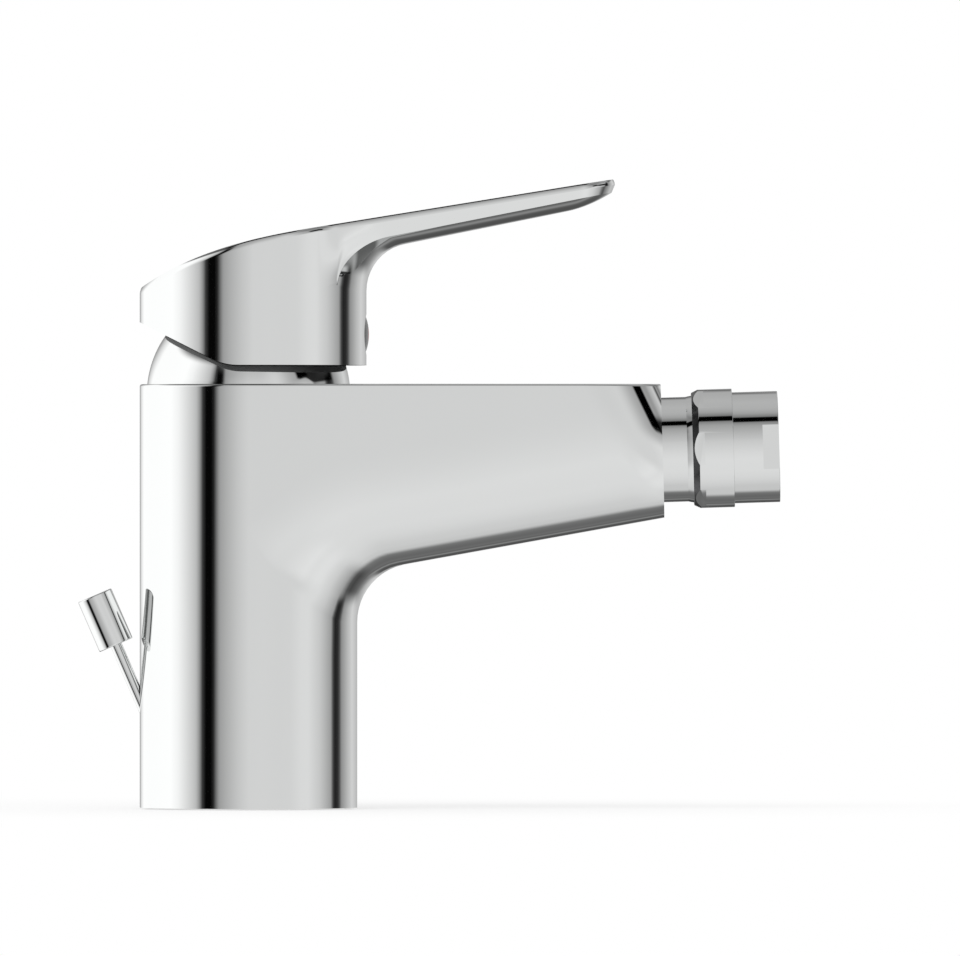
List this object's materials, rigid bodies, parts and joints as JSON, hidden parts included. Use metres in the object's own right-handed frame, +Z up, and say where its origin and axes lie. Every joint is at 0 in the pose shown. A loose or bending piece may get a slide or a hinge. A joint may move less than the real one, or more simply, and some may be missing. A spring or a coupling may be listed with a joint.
{
  "type": "bidet mixer",
  "caption": "Single-lever deck-mounted bidet mixer with a broad flat-topped spout, a ball-jointed outlet nozzle with aerator, and a rear lift rod for a pop-up waste.",
  "frame": {"origin": "centre of the round base on the deck surface, on the column's axis", "axes": "+X from the column along the spout, +Z up along the column, +Y to the left seen from behind the column"},
  "size_m": [0.1517, 0.049, 0.1358],
  "materials": {
    "chrome_plate": "polished chrome plate on cast brass",
    "bare_brass": "turned brass",
    "plain_steel": "plain stainless steel",
    "ceramic": "lapped alumina ceramic",
    "cartridge_plastic": "moulded acetal",
    "aerator_plastic": "moulded acetal",
    "index_plastic": "glossy dark plastic with a red and blue middle",
    "seal_rubber": "black rubber"
  },
  "bodies": {
    "mixer_body": {"body": "chrome_plate", "base_o_ring": "seal_rubber", "rod_guide": "cartridge_plastic", "port_gasket": "seal_rubber", "cartridge_base": "cartridge_plastic", "cartridge_housing": "cartridge_plastic", "fixed_disc": "ceramic", "retaining_nut": "bare_brass", "dome_cover": "chrome_plate", "dome_o_ring": "seal_rubber", "joint_connector": "chrome_plate", "connector_seal": "seal_rubber"},
    "spindle_guide": {"turret": "cartridge_plastic", "spindle_pin": "plain_steel"},
    "lever": {"spindle": "plain_steel", "handle": "chrome_plate", "handle_screw": "plain_steel", "index_plug": "index_plastic"},
    "mixing_disc": {"moving_disc": "ceramic", "disc_carrier": "cartridge_plastic"},
    "lift_rod_and_knob": {"lift_rod": "chrome_plate", "lift_knob": "chrome_plate"},
    "joint_ring": {"ball_o_ring": "seal_rubber"},
    "outlet_nozzle": {"joint_nut": "chrome_plate", "nozzle": "chrome_plate", "aerator_seal": "seal_rubber", "aerator_screen": "plain_steel", "aerator_insert": "aerator_plastic"}
  },
  "joints": [
    {"name": "handle_swivel", "type": "hinge", "parent": "mixer_body", "child": "spindle_guide", "pos_m": [0, 0, 0.0893], "axis": [0, 0, 1], "range_deg": [-50, 50]},
    {"name": "handle_lift", "type": "hinge", "parent": "spindle_guide", "child": "lever", "pos_m": [0, 0, 0.0893], "axis": [0, -1, 0], "range_deg": [0, 22]},
    {"name": "disc_slide", "type": "slide", "parent": "spindle_guide", "child": "mixing_disc", "axis": [1, 0, 0], "range_m": [0, 0.0041]},
    {"name": "lift_rod_slide", "type": "slide", "parent": "mixer_body", "child": "lift_rod_and_knob", "axis": [-0.3987, 0, 0.9171], "range_m": [0, 0.009]},
    {"name": "nozzle_spin", "type": "hinge", "parent": "mixer_body", "child": "joint_ring", "pos_m": [0.0976, 0, 0.07754], "axis": [0.9996, 0, 0.0297], "continuous": true},
    {"name": "nozzle_tilt", "type": "hinge", "parent": "joint_ring", "child": "outlet_nozzle", "pos_m": [0.0976, 0, 0.07754], "axis": [0, 1, 0], "range_deg": [-6, 6]}
  ],
  "couplings": [
    {"joint": "disc_slide", "follows": "handle_lift", "m_per_rad": 0.010537}
  ]
}
